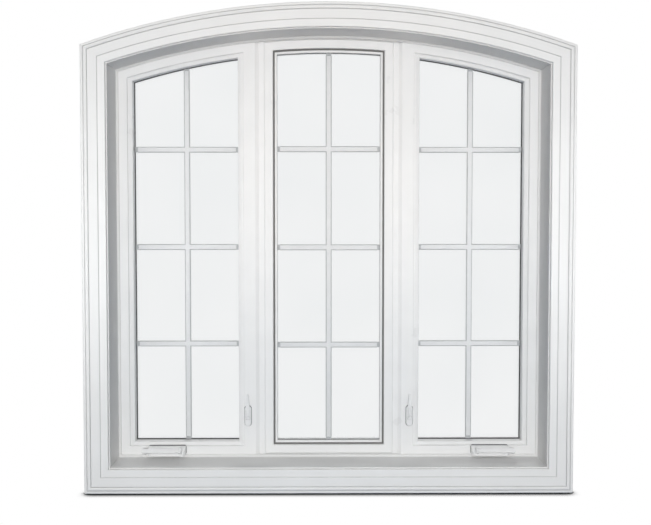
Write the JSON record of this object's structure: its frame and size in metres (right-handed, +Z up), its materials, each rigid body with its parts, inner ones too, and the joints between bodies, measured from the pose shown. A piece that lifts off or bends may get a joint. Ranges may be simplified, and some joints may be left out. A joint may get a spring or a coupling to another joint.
{
  "type": "arched triple casement window",
  "caption": "Segmental-arch window: a fixed middle light between casements, bars between the panes, deep jamb boards, moulded casing, sash locks and folding cranks.",
  "frame": {"origin": "middle of the underside of the middle frame's sill", "axes": "+X along the wall, to the right as seen from the room; +Y from the room to outdoors; +Z up"},
  "size_m": [1.823, 0.218, 1.819],
  "materials": {
    "painted_wood": "white satin paint",
    "vinyl": "white satin vinyl",
    "glass": "clear float glass",
    "spacer": "black warm-edge spacer",
    "grille_bars": "white enamel",
    "hardware": "white enamel"
  },
  "bodies": {
    "window": {"bottom_casing": "painted_wood", "centre_frame_head": "vinyl", "centre_frame_left_jamb": "vinyl", "centre_frame_right_jamb": "vinyl", "centre_frame_sill": "vinyl", "centre_glass": "glass", "centre_glazing_beads": "vinyl", "centre_grille": "grille_bars", "glass_spacers": "spacer", "head_casing": "painted_wood", "head_extension": "painted_wood", "left_casing": "painted_wood", "left_extension": "painted_wood", "left_frame_head": "vinyl", "left_frame_hinge_jamb": "vinyl", "left_frame_lock_jamb": "vinyl", "left_frame_sill": "vinyl", "left_glass": "glass", "left_grille": "grille_bars", "left_lock_plate": "hardware", "left_operator_cover": "hardware", "left_sash_bottom_rail": "vinyl", "left_sash_hinge_stile": "vinyl", "left_sash_lock_stile": "vinyl", "left_sash_top_rail": "vinyl", "right_casing": "painted_wood", "right_extension": "painted_wood", "right_frame_head": "vinyl", "right_frame_hinge_jamb": "vinyl", "right_frame_lock_jamb": "vinyl", "right_frame_sill": "vinyl", "right_glass": "glass", "right_grille": "grille_bars", "right_lock_plate": "hardware", "right_operator_cover": "hardware", "right_sash_bottom_rail": "vinyl", "right_sash_hinge_stile": "vinyl", "right_sash_lock_stile": "vinyl", "right_sash_top_rail": "vinyl", "sill_extension": "painted_wood"},
    "left_lever": {"left_lock_lever": "hardware"},
    "right_lever": {"right_lock_lever": "hardware"},
    "left_crank": {"left_crank_handle": "hardware"},
    "right_crank": {"right_crank_handle": "hardware"}
  },
  "joints": [
    {"name": "left_lock_turn", "type": "hinge", "parent": "window", "child": "left_lever", "pos_m": [-0.315, -0.057, 0.174], "axis": [1, 0, 0], "range_deg": [0, 150]},
    {"name": "left_crank_unfold", "type": "hinge", "parent": "window", "child": "left_crank", "pos_m": [-0.575, -0.07443, 0.0521], "axis": [0, 0.6097, 0.7926], "range_deg": [0, 150]},
    {"name": "right_lock_turn", "type": "hinge", "parent": "window", "child": "right_lever", "pos_m": [0.315, -0.057, 0.174], "axis": [1, 0, 0], "range_deg": [0, 150]},
    {"name": "right_crank_unfold", "type": "hinge", "parent": "window", "child": "right_crank", "pos_m": [0.575, -0.07443, 0.0521], "axis": [0, -0.6097, -0.7926], "range_deg": [0, 150]}
  ]
}
